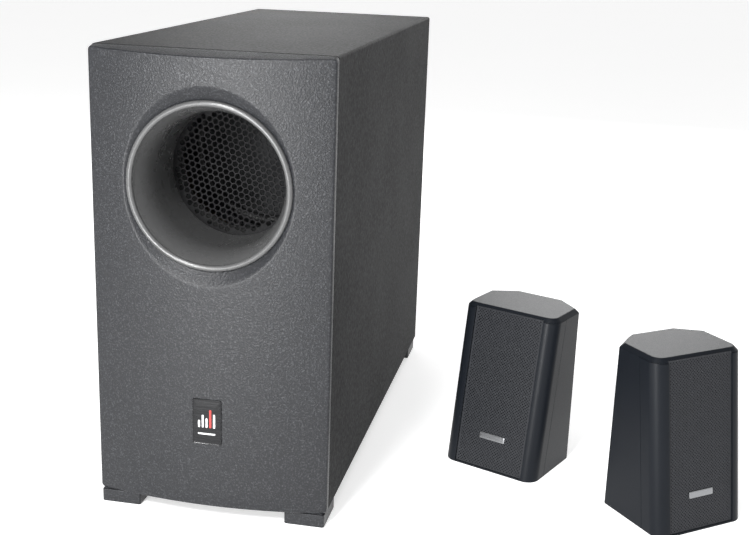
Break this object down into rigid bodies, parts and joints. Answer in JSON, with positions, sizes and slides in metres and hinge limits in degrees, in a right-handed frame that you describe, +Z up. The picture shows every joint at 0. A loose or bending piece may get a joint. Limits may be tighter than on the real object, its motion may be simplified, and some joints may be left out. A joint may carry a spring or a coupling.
{
  "type": "desktop speaker set",
  "caption": "Desktop speaker set: deep ported subwoofer with bowed front, flared round port and rear amplifier panel, with raked satellite speakers behind perforated grilles.",
  "frame": {"origin": "middle of the whole set's footprint, on the surface that it stands on", "axes": "+X is the listener's right and the set's longest side, +Y points to the back of the subwoofer, +Z is up"},
  "size_m": [0.5032, 0.4542, 0.3615],
  "materials": {
    "vinyl_wrap": "grained matt vinyl",
    "panel_plastic": "fine textured moulding",
    "gloss_plastic": "polished black",
    "black_mesh": "satin black",
    "badge_gloss": "domed gloss",
    "board": "raw fibreboard",
    "driver_paint": "black powder coat",
    "plated_steel": "zinc plated",
    "ferrite": "raw ferrite",
    "surround_rubber": "satin rubber",
    "spider_cloth": "resin-dipped cloth",
    "cone_paper": "pressed paper",
    "coil_copper": "enamelled wire",
    "black_screws": "black zinc",
    "amp_plate_paint": "fine powder coat",
    "circuit_board": "solder resist",
    "heatsink_alloy": "extruded",
    "transformer_steel": "varnished laminations",
    "black_plastic": "fine satin",
    "knob_plastic": "satin",
    "socket_brass": "plated",
    "red_plastic": "moulded",
    "satellite_plastic": "fine satin moulding",
    "grille_paint": "black paint over perforated steel",
    "plaque_metal": "brushed"
  },
  "bodies": {
    "subwoofer": {"sub_cabinet": "vinyl_wrap", "sub_front_board": "board", "sub_rear_board": "vinyl_wrap", "sub_driver_baffle": "board", "sub_front_panel": "panel_plastic", "port_flare": "gloss_plastic", "port_mesh": "black_mesh", "sub_badge": "badge_gloss", "sub_feet": "panel_plastic", "woofer_frame": "driver_paint", "woofer_top_plate": "plated_steel", "woofer_magnet": "ferrite", "woofer_yoke": "plated_steel", "woofer_surround": "surround_rubber", "woofer_spider": "spider_cloth", "woofer_screws": "black_screws", "amp_plate": "amp_plate_paint", "amp_board": "circuit_board", "amp_heatsink": "heatsink_alloy", "power_transformer": "transformer_steel", "mains_inlet": "black_plastic", "power_switch_frame": "black_plastic", "control_pots": "plated_steel", "input_jacks": "socket_brass", "speaker_terminals": "black_plastic", "amp_screws": "black_screws"},
    "woofer_diaphragm": {"woofer_cone": "cone_paper", "woofer_dust_cap": "cone_paper", "woofer_voice_coil": "coil_copper"},
    "volume_knob": {"volume_knob": "knob_plastic"},
    "bass_knob": {"bass_knob": "knob_plastic"},
    "power_rocker": {"power_rocker": "black_plastic"},
    "sub_lever_1": {"sub_lever_1": "red_plastic"},
    "sub_lever_2": {"sub_lever_2": "black_plastic"},
    "sub_lever_3": {"sub_lever_3": "red_plastic"},
    "sub_lever_4": {"sub_lever_4": "black_plastic"},
    "left_satellite": {"left_front_bezel": "satellite_plastic", "left_rear_shell": "satellite_plastic", "left_grille": "grille_paint", "left_badge": "plaque_metal", "left_driver_frame": "driver_paint", "left_driver_motor": "plated_steel", "left_suspension": "surround_rubber", "left_terminal": "black_plastic", "left_screws": "plated_steel"},
    "left_diaphragm": {"left_cone": "cone_paper"},
    "left_lever_1": {"left_lever_1": "red_plastic"},
    "left_lever_2": {"left_lever_2": "black_plastic"},
    "right_satellite": {"right_front_bezel": "satellite_plastic", "right_rear_shell": "satellite_plastic", "right_grille": "grille_paint", "right_badge": "plaque_metal", "right_driver_frame": "driver_paint", "right_driver_motor": "plated_steel", "right_suspension": "surround_rubber", "right_terminal": "black_plastic", "right_screws": "plated_steel"},
    "right_diaphragm": {"right_cone": "cone_paper"},
    "right_lever_1": {"right_lever_1": "red_plastic"},
    "right_lever_2": {"right_lever_2": "black_plastic"}
  },
  "joints": [
    {"name": "woofer_travel", "type": "slide", "parent": "subwoofer", "child": "woofer_diaphragm", "axis": [0, -1, 0], "range_m": [-0.005, 0.005], "stiffness_N_per_m": 1500, "deforming": ["woofer_surround", "woofer_spider"]},
    {"name": "volume_turn", "type": "hinge", "parent": "subwoofer", "child": "volume_knob", "pos_m": [-0.18912, 0.2121, 0.2715], "axis": [0, 1, 0], "range_deg": [-150, 150]},
    {"name": "bass_turn", "type": "hinge", "parent": "subwoofer", "child": "bass_knob", "pos_m": [-0.12912, 0.2121, 0.2715], "axis": [0, 1, 0], "range_deg": [-150, 150]},
    {"name": "power_rock", "type": "hinge", "parent": "subwoofer", "child": "power_rocker", "pos_m": [-0.18412, 0.2121, 0.1145], "axis": [1, 0, 0], "range_deg": [0, 20]},
    {"name": "sub_lever_1_press", "type": "hinge", "parent": "subwoofer", "child": "sub_lever_1", "pos_m": [-0.17712, 0.2106, 0.1875], "axis": [1, 0, 0], "range_deg": [0, 14], "stiffness_Nm_per_rad": 0.001, "springref_deg": -2.86},
    {"name": "sub_lever_2_press", "type": "hinge", "parent": "subwoofer", "child": "sub_lever_2", "pos_m": [-0.16512, 0.2106, 0.1875], "axis": [1, 0, 0], "range_deg": [0, 14], "stiffness_Nm_per_rad": 0.001, "springref_deg": -2.86},
    {"name": "sub_lever_3_press", "type": "hinge", "parent": "subwoofer", "child": "sub_lever_3", "pos_m": [-0.15312, 0.2106, 0.1875], "axis": [1, 0, 0], "range_deg": [0, 14], "stiffness_Nm_per_rad": 0.001, "springref_deg": -2.86},
    {"name": "sub_lever_4_press", "type": "hinge", "parent": "subwoofer", "child": "sub_lever_4", "pos_m": [-0.14112, 0.2106, 0.1875], "axis": [1, 0, 0], "range_deg": [0, 14], "stiffness_Nm_per_rad": 0.001, "springref_deg": -2.86},
    {"name": "left_satellite_lift", "type": "slide", "parent": "subwoofer", "child": "left_satellite", "axis": [0, 0, 1], "range_m": [0, 0.2]},
    {"name": "left_cone_travel", "type": "slide", "parent": "left_satellite", "child": "left_diaphragm", "axis": [-0.3856, -0.9083, 0.1621], "range_m": [-0.002, 0.002], "stiffness_N_per_m": 400, "deforming": ["left_suspension"]},
    {"name": "left_lever_1_press", "type": "hinge", "parent": "left_satellite", "child": "left_lever_1", "pos_m": [0.0711, -0.00411, 0.033], "axis": [0.9205, -0.3907, 0], "range_deg": [0, 14], "stiffness_Nm_per_rad": 0.001, "springref_deg": -2.86},
    {"name": "left_lever_2_press", "type": "hinge", "parent": "left_satellite", "child": "left_lever_2", "pos_m": [0.08214, -0.0088, 0.033], "axis": [0.9205, -0.3907, 0], "range_deg": [0, 14], "stiffness_Nm_per_rad": 0.001, "springref_deg": -2.86},
    {"name": "right_satellite_lift", "type": "slide", "parent": "subwoofer", "child": "right_satellite", "axis": [0, 0, 1], "range_m": [0, 0.2]},
    {"name": "right_cone_travel", "type": "slide", "parent": "right_satellite", "child": "right_diaphragm", "axis": [0.6075, -0.7776, 0.1621], "range_m": [-0.002, 0.002], "stiffness_N_per_m": 400, "deforming": ["right_suspension"]},
    {"name": "right_lever_1_press", "type": "hinge", "parent": "right_satellite", "child": "right_lever_1", "pos_m": [0.16586, -0.08158, 0.033], "axis": [0.788, 0.6157, 0], "range_deg": [0, 14], "stiffness_Nm_per_rad": 0.001, "springref_deg": -2.86},
    {"name": "right_lever_2_press", "type": "hinge", "parent": "right_satellite", "child": "right_lever_2", "pos_m": [0.17532, -0.07419, 0.033], "axis": [0.788, 0.6157, 0], "range_deg": [0, 14], "stiffness_Nm_per_rad": 0.001, "springref_deg": -2.86}
  ]
}
